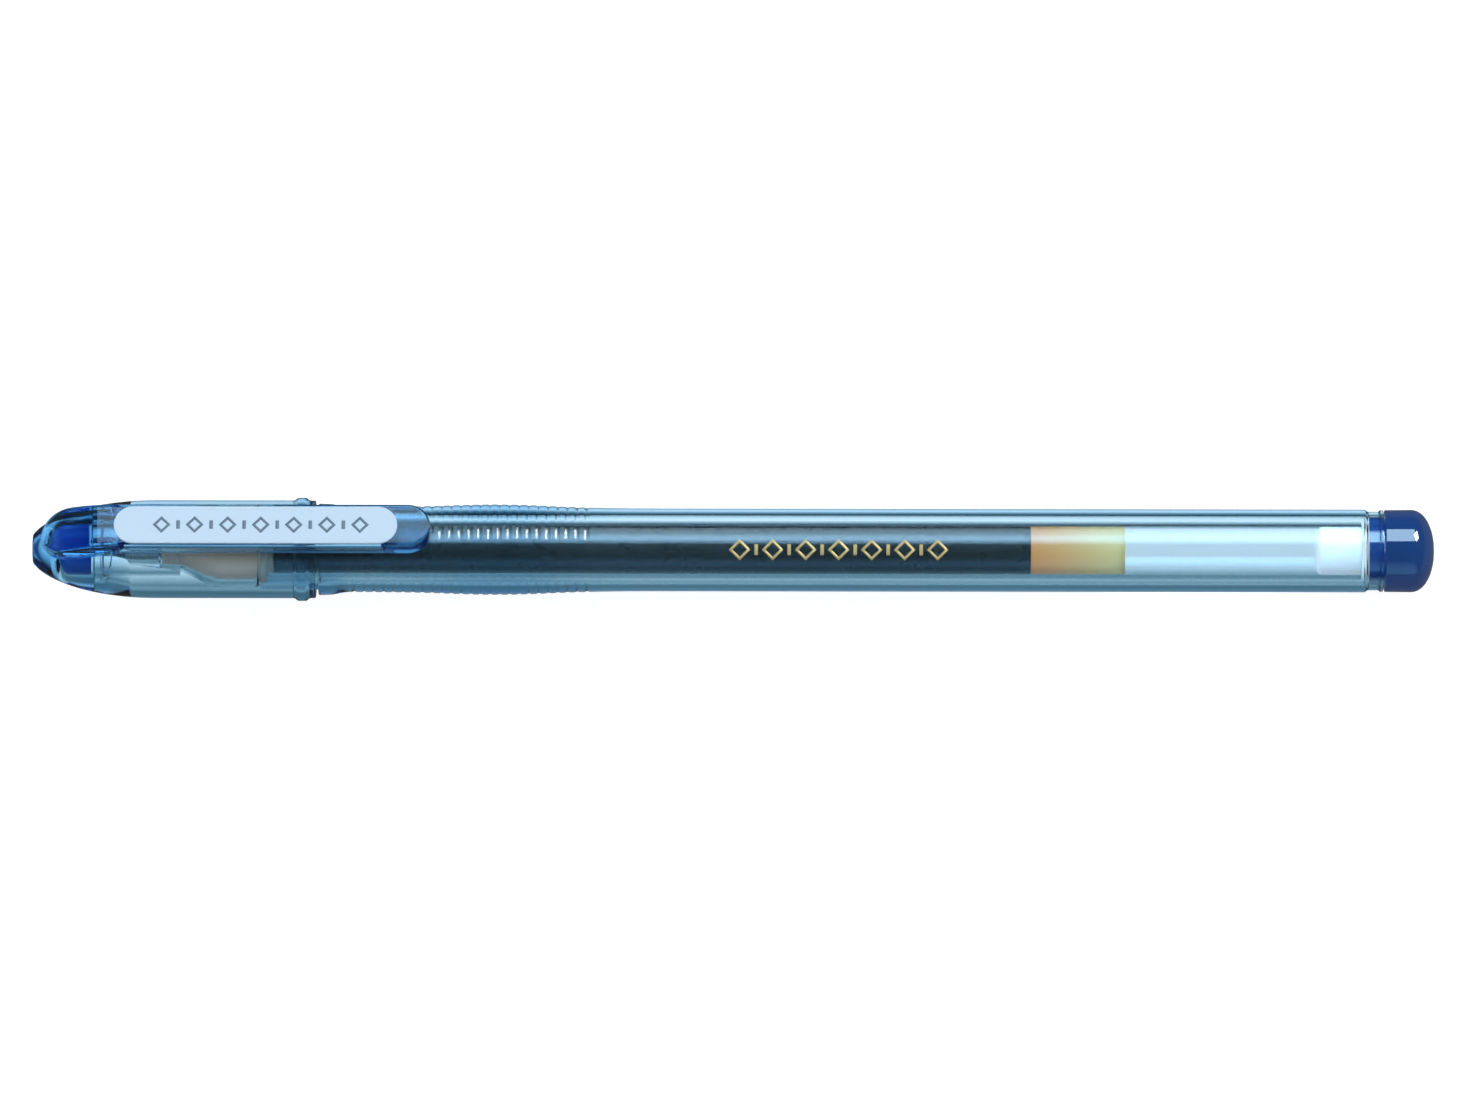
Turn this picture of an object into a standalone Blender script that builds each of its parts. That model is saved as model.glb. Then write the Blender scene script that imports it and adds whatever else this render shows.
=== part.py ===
"""Capped gel pen: barrel and end plug, refill with its point and ball, cap and clip.

The pen lies along X with its cap towards -X and its clip straight up. Stations are
distances from the front of the cap and radii are distances from the pen's own axis,
both in millimetres, and MM turns them into metres.
"""

import math

import bmesh
import bpy

MM = 0.001
SIDES = 32
FINE_SIDES = 24
WELD = 1e-6

# Whole pen, which rests on the cap's bead
LENGTH = 149.0
BEAD_RADIUS = 5.49
AXIS_HEIGHT = BEAD_RADIUS

# Cap
CAP_REAR = 30.1
CAP_RADIUS = 5.2
CAP_BORE = 4.42
CROWN_END = 13.0
CROWN_REACH = 13.6
NOSE_RADIUS = 1.5
BEAD = (28.1, 29.2)
SEAL_FRONT = 2.6
SEAL_REAR = 6.5
SEAL_RADIUS = 2.75
SLEEVE_REAR = 15.7

# Clip, with heights above the pen's axis
CLIP_START = 8.3
CLIP_END = 42.4
CLIP_HINGE = 8.2
CLIP_HALF_WIDTH = 2.45
CLIP_WALL = 0.7
CLIP_TOP = 7.1
CLIP_WEB = 1.0
CLIP_BOTTOM = 5.05
CLIP_HINGE_HEIGHT = 6.6
ROOT_FRONT = 0.9
ROOT_REAR = 8.1
CHANNEL_START = 9.4
GRIP_BAR = (37.6, 39.4)
BEAD_CLEARANCE = 5.32

# Label let into the clip
LABEL_START = 8.9
LABEL_END = 38.9
LABEL_HALF_WIDTH = 2.1
LABEL_RECESS = 0.3
LABEL_THICKNESS = 0.3
LABEL_GAP = 0.06

# Barrel
BARREL_FRONT = 24.3
BARREL_REAR = 143.55
BARREL_RADIUS = 4.4
BARREL_BORE = 3.7
NECK_RADIUS = 4.25
COLLAR_START = 30.4
COLLAR_RADIUS = 4.87
GRIP_START = 33.7
GRIP_RINGS = 25
GRIP_PITCH = 1.03
GRIP_DEPTH = 0.13
GROOVE = (141.9, 143.1)

# End plug
PLUG_STEM_START = 141.9
PLUG_HEAD_START = 143.7
PLUG_DOME_START = 146.4
PLUG_RADIUS = 4.38

# Refill
TUBE_FRONT = 25.0
TUBE_REAR = 141.2
TUBE_RADIUS = 3.1
TUBE_BORE = 2.6
FILL_RADIUS = 2.56
INK_START = 25.7
INK_END = 106.05
FOLLOWER_END = 116.1
TAIL_START = 136.6

# Front of the refill
HOLDER_COLLAR = (19.5, 24.2)
HOLDER_RADIUS = 3.2
NOSE_SLEEVE_RADIUS = 4.05
NOSE_FRONT = 9.7
POINT_FRONT = 7.12
POINT_REAR = 16.5
BALL_STATION = 7.1
BALL_RADIUS = 0.35


def x_at(station):
    return (station - LENGTH / 2) * MM


def clear_scene():
    for item in list(bpy.data.objects):
        bpy.data.objects.remove(item, do_unlink=True)


def collection(name):
    made = bpy.data.collections.new(name)
    bpy.context.scene.collection.children.link(made)
    return made


def material(name, colour, roughness, metallic=0.0, alpha=1.0):
    made = bpy.data.materials.new(name)
    made.use_nodes = True
    shader = made.node_tree.nodes["Principled BSDF"]
    shader.inputs["Base Color"].default_value = (*colour, 1.0)
    shader.inputs["Roughness"].default_value = roughness
    shader.inputs["Metallic"].default_value = metallic
    shader.inputs["Alpha"].default_value = alpha
    return made


def add_object(name, data, home, look=None):
    made = bpy.data.objects.new(name, data)
    home.objects.link(made)
    if look is not None:
        data.materials.append(look)
    return made


def pivot(name, home, station, height=0.0):
    """An empty on a joint's axis, height above the pen's axis."""
    made = add_object(name, None, home)
    made.location = (x_at(station), 0.0, (AXIS_HEIGHT + height) * MM)
    made.empty_display_size = 3 * MM
    return made


def turned(name, outer, inner, look, home, sides=SIDES, origin=0.0):
    """A body turned about the pen's axis. outer and inner run from front to back.

    An outline that ends on the axis is solid there, and any other is closed into a ring."""
    outline = [*reversed(outer), *inner]
    mesh = bpy.data.meshes.new(name)
    points = [(radius * MM, 0.0, (station - origin) * MM) for station, radius in outline]
    edges = [(i, i + 1) for i in range(len(points) - 1)]
    if outline[-1][1] > 0:
        edges.append((len(points) - 1, 0))
    mesh.from_pydata(points, edges, [])
    made = add_object(name, mesh, home, look)
    made.location = (x_at(origin), 0.0, AXIS_HEIGHT * MM)
    made.rotation_euler = (0.0, math.radians(90), 0.0)
    screw = made.modifiers.new("turn", "SCREW")
    screw.axis = "Z"
    screw.steps = sides
    screw.render_steps = sides
    screw.use_merge_vertices = True
    screw.merge_threshold = WELD
    return made


def swept(name, corners, travel, home, look=None):
    """A flat face swept along a vector into a closed body. Both are in millimetres."""
    mesh = bpy.data.meshes.new(name)
    shape = bmesh.new()
    verts = [shape.verts.new([value * MM for value in corner]) for corner in corners]
    face = shape.faces.new(verts)
    grown = bmesh.ops.extrude_face_region(shape, geom=[face])
    moved = [item for item in grown["geom"] if isinstance(item, bmesh.types.BMVert)]
    bmesh.ops.translate(shape, verts=moved, vec=[value * MM for value in travel])
    bmesh.ops.recalc_face_normals(shape, faces=shape.faces)
    shape.to_mesh(mesh)
    shape.free()
    return add_object(name, mesh, home, look)


def plate(name, outline, low, high, home, look=None):
    """A plan of (station, y) raised from one height above the pen's axis to another."""
    corners = [(station - LENGTH / 2, y, AXIS_HEIGHT + low) for station, y in outline]
    return swept(name, corners, (0.0, 0.0, high - low), home, look)


def standing_plate(name, outline, half_width, home):
    """A side view of (station, height above the pen's axis) given a width along Y."""
    corners = [(s - LENGTH / 2, -half_width, AXIS_HEIGHT + height) for s, height in outline]
    return swept(name, corners, (0.0, 2 * half_width, 0.0), home)


def rounded_end(centre, radius, facing, steps=12, reach=None):
    """Points of a half round about (centre, 0), facing the back (1) or the front (-1)."""
    reach = radius if reach is None else reach
    points = []
    for step in range(steps + 1):
        turn = math.pi * (step / steps - 0.5)
        points.append((centre + facing * reach * math.cos(turn), facing * radius * math.sin(turn)))
    return points


def boolean(target, tool, operation):
    cut = target.modifiers.new(tool.name, "BOOLEAN")
    cut.object = tool
    cut.operation = operation
    cut.solver = "EXACT"


def crown_radius(station):
    reach = (CROWN_END - station) / CROWN_REACH
    return CAP_RADIUS * math.sqrt(1 - reach * reach)


def root_height(station):
    """Height of the clip's root over the pen's axis, rising from the nose."""
    reach = (CHANNEL_START - station) / (CHANNEL_START - ROOT_FRONT)
    return 2.5 + (CLIP_TOP - 2.5) * math.sqrt(max(0.0, 1 - reach * reach))


def cap_outline():
    front = [0.0, 0.6, 1.4, 2.4, 3.6, 5.0, 6.6, 8.4, 10.4, CROWN_END]
    crown = [(station, max(NOSE_RADIUS, crown_radius(station))) for station in front]
    bead = [
        (BEAD[0] - 0.2, CAP_RADIUS),
        (BEAD[0] + 0.15, BEAD_RADIUS),
        (BEAD[1] - 0.15, BEAD_RADIUS),
        (BEAD[1] + 0.2, CAP_RADIUS),
    ]
    rim = [(CAP_REAR - 0.15, CAP_RADIUS), (CAP_REAR, CAP_RADIUS - 0.15), (CAP_REAR, 0.0)]
    return [(0.0, 0.0), *crown, *bead, *rim]


def cap_hollow():
    seat = SEAL_RADIUS + 0.06
    return [
        (SEAL_FRONT - 0.1, 0.0),
        (SEAL_FRONT - 0.05, 1.25),
        (SEAL_FRONT + 0.25, 2.0),
        (SEAL_FRONT + 0.85, 2.58),
        (SEAL_FRONT + 1.6, seat),
        (SEAL_REAR + 0.2, seat),
        (SEAL_REAR + 0.2, 3.45),
        (SEAL_REAR + 1.25, 3.45),
        (SEAL_REAR + 4.0, CAP_BORE - 0.1),
        (CAP_REAR - 0.5, CAP_BORE),
        (CAP_REAR + 0.5, CAP_BORE + 0.1),
        (CAP_REAR + 0.5, 0.0),
    ]


def build_cap(parts, cutters, look):
    shell = turned("cap_shell", cap_outline(), [], look, parts)
    side = [(ROOT_REAR, 0.0)]
    stations = [ROOT_REAR, 6.6, 5.2, 4.0, 3.0, 2.2, 1.6, 1.2, ROOT_FRONT]
    side += [(station, root_height(station)) for station in stations]
    side.append((ROOT_FRONT, 0.0))
    root = standing_plate("cap_root", side, CLIP_HALF_WIDTH, cutters)
    plan = rounded_end(ROOT_FRONT + 3.4, CLIP_HALF_WIDTH, -1, reach=3.4)
    plan += [(ROOT_REAR + 1, -CLIP_HALF_WIDTH), (ROOT_REAR + 1, CLIP_HALF_WIDTH)]
    trim = plate("root_plan", plan, -1.0, CLIP_TOP + 1, cutters)
    boolean(root, trim, "INTERSECT")
    boolean(shell, root, "UNION")
    boolean(shell, turned("cap_hollow", cap_hollow(), [], None, cutters), "DIFFERENCE")
    return shell


def build_seal(parts, look):
    outer = [
        (SEAL_FRONT, 0.0),
        (SEAL_FRONT, 1.15),
        (SEAL_FRONT + 0.3, 1.9),
        (SEAL_FRONT + 0.9, 2.5),
        (SEAL_FRONT + 1.65, SEAL_RADIUS),
        (SEAL_REAR, SEAL_RADIUS),
        (SEAL_REAR, 0.0),
    ]
    return turned("cap_seal", outer, [], look, parts)


def build_sleeve(parts, look):
    front = SEAL_REAR + 0.3
    outer = [(front, 3.4), (front + 0.8, 3.4), (front + 0.8, 2.9), (SLEEVE_REAR, 2.82)]
    inner = [(front, 2.3), (SLEEVE_REAR, 2.36)]
    return turned("inner_cap", outer, inner, look, parts, FINE_SIDES)


def clip_outline(inset, start):
    radius = CLIP_HALF_WIDTH - inset
    outline = rounded_end(CLIP_END - CLIP_HALF_WIDTH, radius, 1)
    return [*outline, (start, radius), (start, -radius)]


def label_outline(grow):
    radius = LABEL_HALF_WIDTH + grow
    return [
        *rounded_end(LABEL_END - LABEL_HALF_WIDTH, radius, 1, 10),
        *rounded_end(LABEL_START + LABEL_HALF_WIDTH, radius, -1, 10),
    ]


def build_clip(parts, cutters, look, label_look):
    arm = plate("clip", clip_outline(0, CLIP_START), CLIP_BOTTOM, CLIP_TOP, parts, look)
    ceiling = CLIP_TOP - CLIP_WEB
    half = CLIP_HALF_WIDTH - CLIP_WALL
    front = [
        (CHANNEL_START, -half),
        (GRIP_BAR[0], -half),
        (GRIP_BAR[0], half),
        (CHANNEL_START, half),
    ]
    rear = clip_outline(CLIP_WALL, GRIP_BAR[1])
    over_bead = [
        (BEAD[0] - 0.4, -CLIP_HALF_WIDTH - 1),
        (BEAD[1] + 0.4, -CLIP_HALF_WIDTH - 1),
        (BEAD[1] + 0.4, CLIP_HALF_WIDTH + 1),
        (BEAD[0] - 0.4, CLIP_HALF_WIDTH + 1),
    ]
    floor = CLIP_BOTTOM - 1
    boolean(arm, plate("channel_front", front, floor, ceiling, cutters), "DIFFERENCE")
    boolean(arm, plate("channel_rear", rear, floor, ceiling, cutters), "DIFFERENCE")
    boolean(arm, plate("bead_notch", over_bead, floor, BEAD_CLEARANCE, cutters), "DIFFERENCE")
    recess = plate(
        "label_recess",
        label_outline(LABEL_GAP),
        CLIP_TOP - LABEL_RECESS,
        CLIP_TOP + 1,
        cutters,
    )
    boolean(arm, recess, "DIFFERENCE")
    low = CLIP_TOP - LABEL_RECESS + 0.02
    label = plate(
        "clip_label", label_outline(0.0), low, low + LABEL_THICKNESS, parts, label_look
    )
    return arm, label


def grip_radius(station):
    """Outer radius of the barrel's waist and grip swell, without its rings."""
    swell = 0.4 * math.exp(-(((station - 49.7) / 7.5) ** 2))
    front = 0.12 * min(1.0, max(0.0, (50 - station) / 12))
    return BARREL_RADIUS + swell + front


def barrel_outline():
    outline = [
        (BARREL_FRONT, NECK_RADIUS - 0.15),
        (BARREL_FRONT + 0.15, NECK_RADIUS),
        (COLLAR_START, NECK_RADIUS + 0.03),
        (COLLAR_START, COLLAR_RADIUS),
        (COLLAR_START + 1.4, COLLAR_RADIUS - 0.03),
        (GRIP_START - 0.5, grip_radius(GRIP_START) + 0.06),
    ]
    for ring in range(GRIP_RINGS):
        station = GRIP_START + ring * GRIP_PITCH
        outline.append((station, grip_radius(station)))
        middle = station + GRIP_PITCH / 2
        outline.append((middle, grip_radius(middle) - GRIP_DEPTH))
    rest = GRIP_START + GRIP_RINGS * GRIP_PITCH
    outline += [(station, grip_radius(station)) for station in (rest, rest + 3, rest + 7)]
    return [
        *outline,
        (GROOVE[0] - 0.2, BARREL_RADIUS),
        (GROOVE[0], BARREL_RADIUS - 0.22),
        (GROOVE[1], BARREL_RADIUS - 0.22),
        (GROOVE[1] + 0.1, BARREL_RADIUS - 0.08),
        (BARREL_REAR, BARREL_RADIUS - 0.08),
    ]


def build_barrel(parts, look):
    bore = [(BARREL_FRONT, BARREL_BORE), (BARREL_REAR, BARREL_BORE)]
    return turned("barrel", barrel_outline(), bore, look, parts)


def build_end_plug(parts, look):
    dome = []
    reach = LENGTH - PLUG_DOME_START
    for step in (0.0, 0.27, 0.45, 0.6, 0.74, 0.86, 0.95):
        station = PLUG_DOME_START + reach * step
        dome.append((station, PLUG_RADIUS * math.sqrt(1 - step**2.3)))
    outer = [
        (PLUG_STEM_START, BARREL_BORE - 0.25),
        (PLUG_STEM_START + 0.15, BARREL_BORE - 0.07),
        (PLUG_HEAD_START, BARREL_BORE - 0.07),
        (PLUG_HEAD_START, PLUG_RADIUS - 0.05),
        *dome,
        (LENGTH, 0.6),
        (LENGTH, 0.0),
    ]
    hollow = [(PLUG_STEM_START, 2.2), (PLUG_DOME_START - 0.6, 2.0), (PLUG_DOME_START, 0.0)]
    return turned("end_plug", outer, hollow, look, parts)


def build_nose_cone(parts, look):
    shoulder, rear = HOLDER_COLLAR[0] - 0.1, HOLDER_COLLAR[1] - 0.1
    outer = [
        (NOSE_FRONT, 1.42),
        (NOSE_FRONT + 0.15, 1.52),
        (15.6, 2.3),
        (17.5, 3.15),
        (shoulder - 0.6, 3.9),
        (shoulder, NOSE_SLEEVE_RADIUS),
        (rear, NOSE_SLEEVE_RADIUS),
    ]
    inner = [
        (NOSE_FRONT, 1.22),
        (13.5, 1.22),
        (13.6, 1.68),
        (15.7, 1.68),
        (shoulder, HOLDER_RADIUS + 0.08),
        (rear, HOLDER_RADIUS + 0.08),
    ]
    return turned("nose_cone", outer, inner, look, parts)


def build_tip_holder(parts, look):
    front, rear = HOLDER_COLLAR
    outer = [
        (13.8, 1.6),
        (15.7, 1.6),
        (front, HOLDER_RADIUS),
        (rear, HOLDER_RADIUS),
        (rear, BARREL_BORE - 0.07),
        (rear + 0.7, BARREL_BORE - 0.07),
        (rear + 0.7, TUBE_BORE - 0.05),
        (INK_START - 0.1, TUBE_BORE - 0.05),
    ]
    inner = [(13.8, 1.2), (POINT_REAR + 0.1, 1.2), (POINT_REAR + 0.1, 0.6), (INK_START - 0.1, 0.6)]
    return turned("tip_holder", outer, inner, look, parts)


def build_point(parts, look):
    seat = BALL_STATION + BALL_RADIUS
    outer = [
        (POINT_FRONT, 0.41),
        (7.6, 0.58),
        (9.3, 1.05),
        (9.5, 1.15),
        (POINT_REAR, 1.15),
    ]
    inner = [
        (POINT_FRONT, BALL_RADIUS + 0.02),
        (seat + 0.04, BALL_RADIUS + 0.02),
        (seat + 0.05, 0.18),
        (9.4, 0.18),
        (9.8, 0.55),
        (POINT_REAR, 0.55),
    ]
    return turned("writing_point", outer, inner, look, parts, FINE_SIDES)


def build_ball(parts, look):
    mesh = bpy.data.meshes.new("writing_ball")
    shape = bmesh.new()
    bmesh.ops.create_uvsphere(shape, u_segments=20, v_segments=12, radius=BALL_RADIUS * MM)
    shape.to_mesh(mesh)
    shape.free()
    made = add_object("writing_ball", mesh, parts, look)
    made.location = (x_at(BALL_STATION), 0.0, AXIS_HEIGHT * MM)
    return made


def build_refill(parts, looks):
    turned(
        "ink_tube",
        [(TUBE_FRONT, TUBE_RADIUS), (TUBE_REAR, TUBE_RADIUS)],
        [(TUBE_FRONT, TUBE_BORE), (TUBE_REAR, TUBE_BORE)],
        looks["tube"],
        parts,
    )
    turned(
        "ink_column",
        [(INK_START, 0.0), (INK_START, FILL_RADIUS), (INK_END, FILL_RADIUS), (INK_END, 0.0)],
        [],
        looks["ink"],
        parts,
        origin=INK_START,
    )
    start = INK_END + 0.05
    turned(
        "ink_follower",
        [
            (start, 0.0),
            (start, FILL_RADIUS),
            (FOLLOWER_END, FILL_RADIUS),
            (FOLLOWER_END - 0.5, 1.6),
            (FOLLOWER_END - 0.7, 0.0),
        ],
        [],
        looks["follower"],
        parts,
        origin=start,
    )
    turned(
        "tail_plug",
        [(TAIL_START, 2.2), (TAIL_START + 0.2, FILL_RADIUS), (TUBE_REAR, FILL_RADIUS)],
        [(TAIL_START, 0.5), (TUBE_REAR, 0.5)],
        looks["tail"],
        parts,
    )


def make_looks():
    return {
        "cap": material("clear_blue", (0.40, 0.62, 0.78), 0.08, alpha=0.45),
        "clip": material("clear_mid_blue", (0.12, 0.32, 0.58), 0.12, alpha=0.85),
        "label": material("label_white", (0.85, 0.88, 0.92), 0.4),
        "sleeve": material("sleeve_clear", (0.80, 0.86, 0.90), 0.1, alpha=0.4),
        "deep": material("deep_blue", (0.012, 0.07, 0.26), 0.2, alpha=0.92),
        "barrel": material("barrel_clear", (0.42, 0.62, 0.74), 0.06, alpha=0.35),
        "nose": material("nose_clear", (0.80, 0.86, 0.88), 0.06, alpha=0.4),
        "holder": material("holder_beige", (0.42, 0.38, 0.26), 0.35, alpha=0.9),
        "steel": material("steel", (0.62, 0.62, 0.60), 0.25, metallic=1.0),
        "ball": material("ball_steel", (0.45, 0.45, 0.46), 0.12, metallic=1.0),
        "tube": material("tube_clear", (0.86, 0.91, 0.94), 0.15, alpha=0.3),
        "ink": material("ink_blue_black", (0.012, 0.02, 0.035), 0.25),
        "follower": material("follower_amber", (0.46, 0.33, 0.10), 0.2, alpha=0.9),
        "tail": material("tail_white", (0.88, 0.92, 0.95), 0.4),
    }


def parent_keeping_place(child, parent):
    bpy.context.view_layer.update()
    child.parent = parent
    child.matrix_parent_inverse = parent.matrix_world.inverted()


def main():
    clear_scene()
    parts = collection("gel_pen")
    cutters = collection("cutters")
    looks = make_looks()

    shell = build_cap(parts, cutters, looks["cap"])
    seal = build_seal(parts, looks["deep"])
    sleeve = build_sleeve(parts, looks["sleeve"])
    arm, label = build_clip(parts, cutters, looks["clip"], looks["label"])
    build_barrel(parts, looks["barrel"])
    build_end_plug(parts, looks["deep"])
    build_nose_cone(parts, looks["nose"])
    build_tip_holder(parts, looks["holder"])
    build_point(parts, looks["steel"])
    build_ball(parts, looks["ball"])
    build_refill(parts, looks)

    cap_slide = pivot("cap_slide", parts, CAP_REAR)
    clip_hinge = pivot("clip_hinge", parts, CLIP_HINGE, CLIP_HINGE_HEIGHT)
    for child in (shell, seal, sleeve, clip_hinge):
        parent_keeping_place(child, cap_slide)
    for child in (arm, label):
        parent_keeping_place(child, clip_hinge)
    for cutter in cutters.objects:
        cutter.hide_render = True
        cutter.display_type = "WIRE"
    bpy.context.view_layer.update()


main()
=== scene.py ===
"""Looks of a capped gel pen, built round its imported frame.

The pen lies along X with its cap towards -X and its clip straight up. Shapes are worked
out in millimetres: a station is a distance from the front of the cap, and a radius or a
height is a distance from the pen's own axis.
"""

import math

import bmesh
import bpy
import numpy as np
from bpy.props import FloatProperty, FloatVectorProperty, PointerProperty
from bpy.types import Operator, Panel, PropertyGroup
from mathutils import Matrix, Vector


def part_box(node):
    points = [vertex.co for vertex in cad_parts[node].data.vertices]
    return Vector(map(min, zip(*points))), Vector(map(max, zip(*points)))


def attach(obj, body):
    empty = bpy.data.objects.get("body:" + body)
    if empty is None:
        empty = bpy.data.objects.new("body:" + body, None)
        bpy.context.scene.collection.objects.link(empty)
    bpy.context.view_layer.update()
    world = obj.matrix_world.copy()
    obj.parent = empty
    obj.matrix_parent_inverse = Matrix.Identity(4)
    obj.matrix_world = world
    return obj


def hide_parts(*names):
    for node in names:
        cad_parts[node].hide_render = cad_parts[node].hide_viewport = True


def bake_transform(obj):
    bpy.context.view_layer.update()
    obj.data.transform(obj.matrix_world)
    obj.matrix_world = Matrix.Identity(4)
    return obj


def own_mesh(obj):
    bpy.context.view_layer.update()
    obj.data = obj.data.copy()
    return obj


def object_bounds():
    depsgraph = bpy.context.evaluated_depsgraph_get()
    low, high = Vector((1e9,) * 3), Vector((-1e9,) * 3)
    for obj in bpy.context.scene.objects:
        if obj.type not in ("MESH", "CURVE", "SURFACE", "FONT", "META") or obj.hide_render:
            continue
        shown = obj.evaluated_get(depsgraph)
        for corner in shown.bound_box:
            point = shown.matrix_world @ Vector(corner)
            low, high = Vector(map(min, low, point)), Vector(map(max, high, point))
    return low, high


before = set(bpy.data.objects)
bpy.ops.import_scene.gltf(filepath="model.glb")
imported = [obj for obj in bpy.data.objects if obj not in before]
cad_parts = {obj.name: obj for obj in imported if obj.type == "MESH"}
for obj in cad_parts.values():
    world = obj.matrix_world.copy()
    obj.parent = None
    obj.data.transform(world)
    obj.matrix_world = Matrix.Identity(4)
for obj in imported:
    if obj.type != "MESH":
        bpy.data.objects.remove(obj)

bl_info = {
    "name": "Gel Pen",
    "version": (1, 0, 0),
    "blender": (4, 5, 0),
    "location": "View3D > Sidebar > Gel Pen",
    "description": "Builds a capped gel pen with clear plastics round its frame",
    "category": "Object",
}

MM = 0.001
CAD_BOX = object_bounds()
NOSE_X = CAD_BOX[0][0]
BARREL_LOW, BARREL_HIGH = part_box("barrel")
AXIS_Z = (BARREL_LOW.z + BARREL_HIGH.z) / 2


def span(node):
    """Front station, rear station and outer radius of a CAD node, in millimetres."""
    low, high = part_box(node)
    return (low.x - NOSE_X) / MM, (high.x - NOSE_X) / MM, (high.y - low.y) / 2 / MM


def length(name, description, default_mm):
    """A size property in metres, its default given in millimetres."""
    return FloatProperty(
        name=name,
        description=description,
        default=default_mm * MM,
        min=0.0,
        unit="LENGTH",
        subtype="DISTANCE",
        precision=5,
    )


def colour(name, description, default):
    """A colour property of three linear values."""
    return FloatVectorProperty(
        name=name,
        description=description,
        default=default,
        size=3,
        min=0.0,
        max=1.0,
        subtype="COLOR",
    )


class GelPenSizes(PropertyGroup):
    """Sizes that a maker of this pen would change."""

    cap_radius: length("Cap radius", "Outer radius of the cap's straight part", 5.2)
    cap_bore: length("Cap bore", "Radius of the cap's inside", 4.42)
    crown_length: length("Crown length", "Length of the cap's rounded front", 13.0)
    bead_radius: length(
        "Bead radius", "Radius over the bead at the cap's rim", span("cap_shell")[2]
    )
    barrel_radius: length("Barrel radius", "Outer radius of the straight barrel", 4.4)
    barrel_bore: length("Barrel bore", "Radius of the barrel's inside", 3.7)
    grip_start: length("Grip start", "Station of the first grip ring", 33.7)
    grip_pitch: length("Grip pitch", "Distance from one grip ring to the next", 1.03)
    grip_depth: length("Grip depth", "Depth of the groove between two rings", 0.085)
    clip_width: length("Clip width", "Width of the clip", 4.9)
    clip_wall: length("Clip wall", "Thickness of the clip's side flanges", 0.7)
    ball_radius: length("Ball radius", "Radius of the writing ball", 0.35)


class GelPenColours(PropertyGroup):
    """Colours of the pen's plastics, ink and print."""

    barrel: colour("Barrel", "What a clear wall lets through", (0.18, 0.64, 0.90))
    cap: colour("Cap", "What the cap's clear wall lets through", (0.20, 0.62, 0.84))
    deep_blue: colour("Deep blue", "End plug and cap seal", (0.012, 0.075, 0.30))
    holder: colour("Holder", "Tip holder", (1.0, 0.70, 0.50))
    ink: colour("Ink", "Ink in the refill", (0.013, 0.018, 0.018))
    follower_front: colour("Follower front", "Grease next to the ink", (1.0, 0.43, 0.13))
    follower_rear: colour("Follower rear", "Grease at its free end", (1.0, 0.80, 0.36))
    tail: colour("Tail plug", "Milky plug in the tube's rear", (0.97, 0.985, 1.0))
    label: colour("Label", "Panel on the clip", (0.66, 0.74, 0.85))
    label_print: colour("Label print", "Marks on the label", (0.16, 0.22, 0.29))
    gold: colour("Gold", "Marks on the barrel", (0.80, 0.60, 0.26))


def sizes():
    """The scene's sizes, as set on the panel."""
    return bpy.context.scene.gel_pen_sizes


def colours():
    """The scene's colours, as set on the panel."""
    return bpy.context.scene.gel_pen_colours


def mm(value):
    """A size in metres as millimetres."""
    return value / MM


# Shapes

LONGEST_REACH = 0.4  # most of an edge that one corner's curve takes
LEAD_SHARE = 0.2  # how far the flat point beside a curve is from it, in reaches
MERGE_DISTANCE = 1e-7
SHORTEST_EDGE = 1e-8


def eased(points, reach, steps=6):
    """An outline with each inner corner replaced by a quadratic curve.

    The curve starts and ends at reach from the corner, or at 0.4 of the edge there if
    that is less: (1-t)^2 start + 2t(1-t) corner + t^2 end. One more point on each side
    keeps the straight stretch beyond it flat when it is shaded."""
    points = np.asarray(points, float)
    before, corner, after = points[:-2], points[1:-1], points[2:]
    into, out = corner - before, after - corner
    long_in = np.linalg.norm(into, axis=1, keepdims=True)
    long_out = np.linalg.norm(out, axis=1, keepdims=True)
    into, out = into / long_in, out / long_out
    near_in = np.minimum(reach, LONGEST_REACH * long_in)
    near_out = np.minimum(reach, LONGEST_REACH * long_out)
    start, end = corner - into * near_in, corner + out * near_out
    t = np.linspace(0, 1, steps)[None, :, None]
    curve = (1 - t) ** 2 * start[:, None] + 2 * t * (1 - t) * corner[:, None] + t**2 * end[:, None]
    lead = (start - into * near_in * LEAD_SHARE)[:, None]
    tail = (end + out * near_out * LEAD_SHARE)[:, None]
    curve = np.concatenate([lead, curve, tail], axis=1)
    return np.vstack([points[:1], curve.reshape(-1, 2), points[-1:]])


def grid_faces(rows, columns, wrap_rows):
    """Quads of a grid whose columns go all the way round, and its rows too with wrap_rows."""
    index = np.arange(rows * columns).reshape(rows, columns)
    if wrap_rows:
        index = np.vstack([index, index[:1]])
    side = np.roll(index, -1, axis=1)
    quads = [index[:-1], side[:-1], side[1:], index[1:]]
    return np.stack(quads, axis=-1).reshape(-1, 4)


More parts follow.
